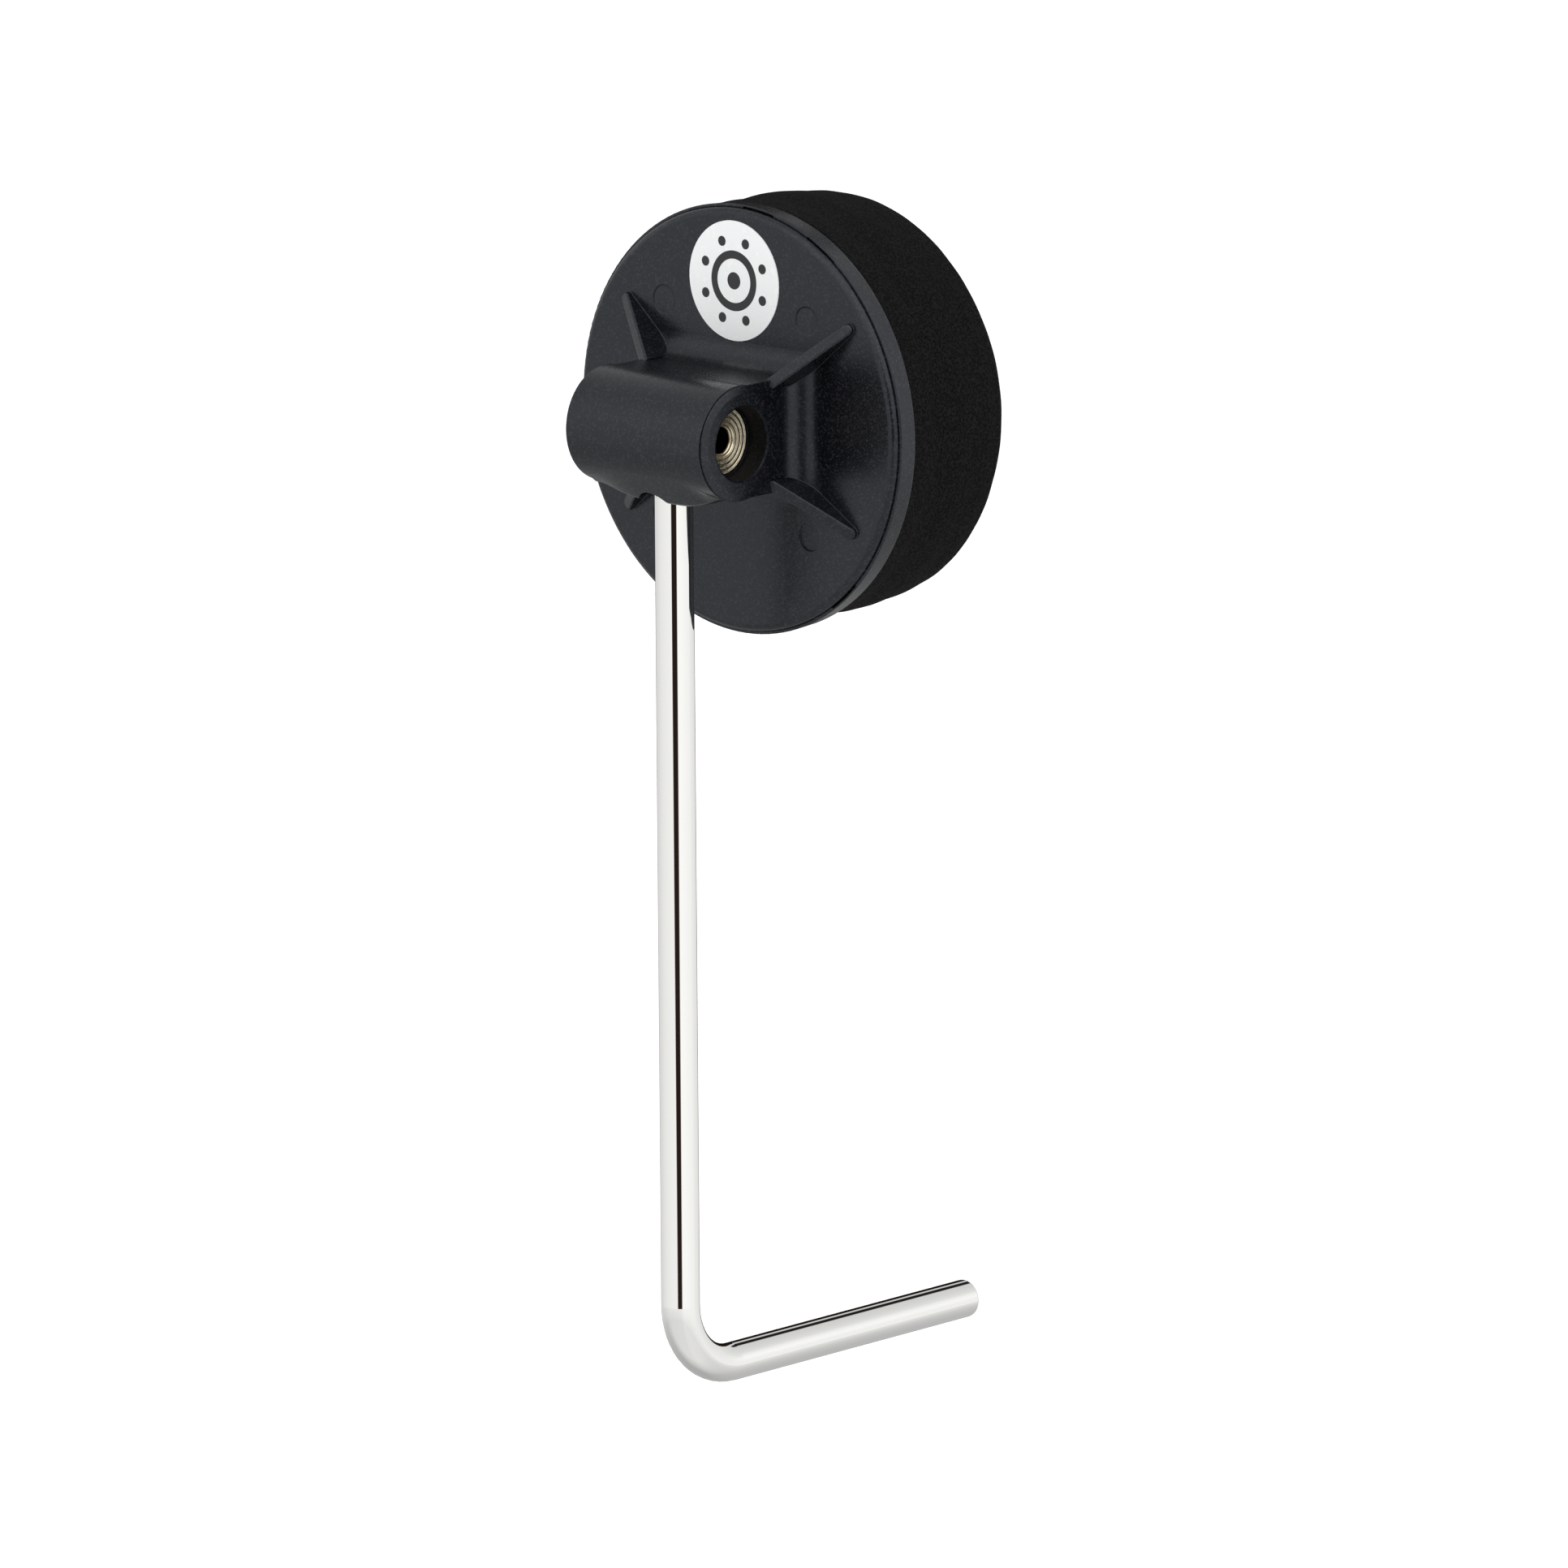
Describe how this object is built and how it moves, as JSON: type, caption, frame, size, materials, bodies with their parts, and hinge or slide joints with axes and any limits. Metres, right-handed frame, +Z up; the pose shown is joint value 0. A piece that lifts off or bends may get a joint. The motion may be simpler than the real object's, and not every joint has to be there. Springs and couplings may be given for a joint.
{
  "type": "drum pedal beater",
  "caption": "Foam pedal beater: a round soft pad on a ribbed plastic head, clamped by a screw to an L-shaped chromed rod",
  "frame": {"origin": "on the axis of the short leg, in the middle of its straight length, where a pedal's clamp grips it", "axes": "+Y along the short leg towards its free end, which is also the way the pad strikes; +Z up along the long shaft; +X to the side, the way the set screw comes out"},
  "size_m": [0.0896, 0.1, 0.2476],
  "materials": {
    "chromed_rod": "polished",
    "head_plastic": "fine spark texture",
    "carrier_plastic": "fine spark texture",
    "glue_film": "tacky film",
    "pad_foam": "fine closed-cell foam",
    "insert_metal": "turned, nickel plated",
    "screw_steel": "black oxide",
    "label_film": "gloss"
  },
  "bodies": {
    "rod": {"beater_rod": "chromed_rod"},
    "clamp": {"clamp_insert": "insert_metal"},
    "screw": {"set_screw": "screw_steel"},
    "head": {"back_plate": "head_plastic", "pad_carrier": "carrier_plastic", "pad_glue": "glue_film", "foam_pad": "pad_foam", "label": "label_film"}
  },
  "joints": [
    {"name": "head_turn", "type": "hinge", "parent": "rod", "child": "clamp", "pos_m": [0, -0.052, 0.1988], "axis": [0, 0, 1], "continuous": true},
    {"name": "head_tilt", "type": "hinge", "parent": "clamp", "child": "head", "pos_m": [0, -0.052, 0.1988], "axis": [1, 0, 0], "range_deg": [-3, 3]},
    {"name": "screw_turn", "type": "hinge", "parent": "clamp", "child": "screw", "pos_m": [0.0071, -0.052, 0.1988], "axis": [1, 0, 0], "range_deg": [0, 720]}
  ]
}
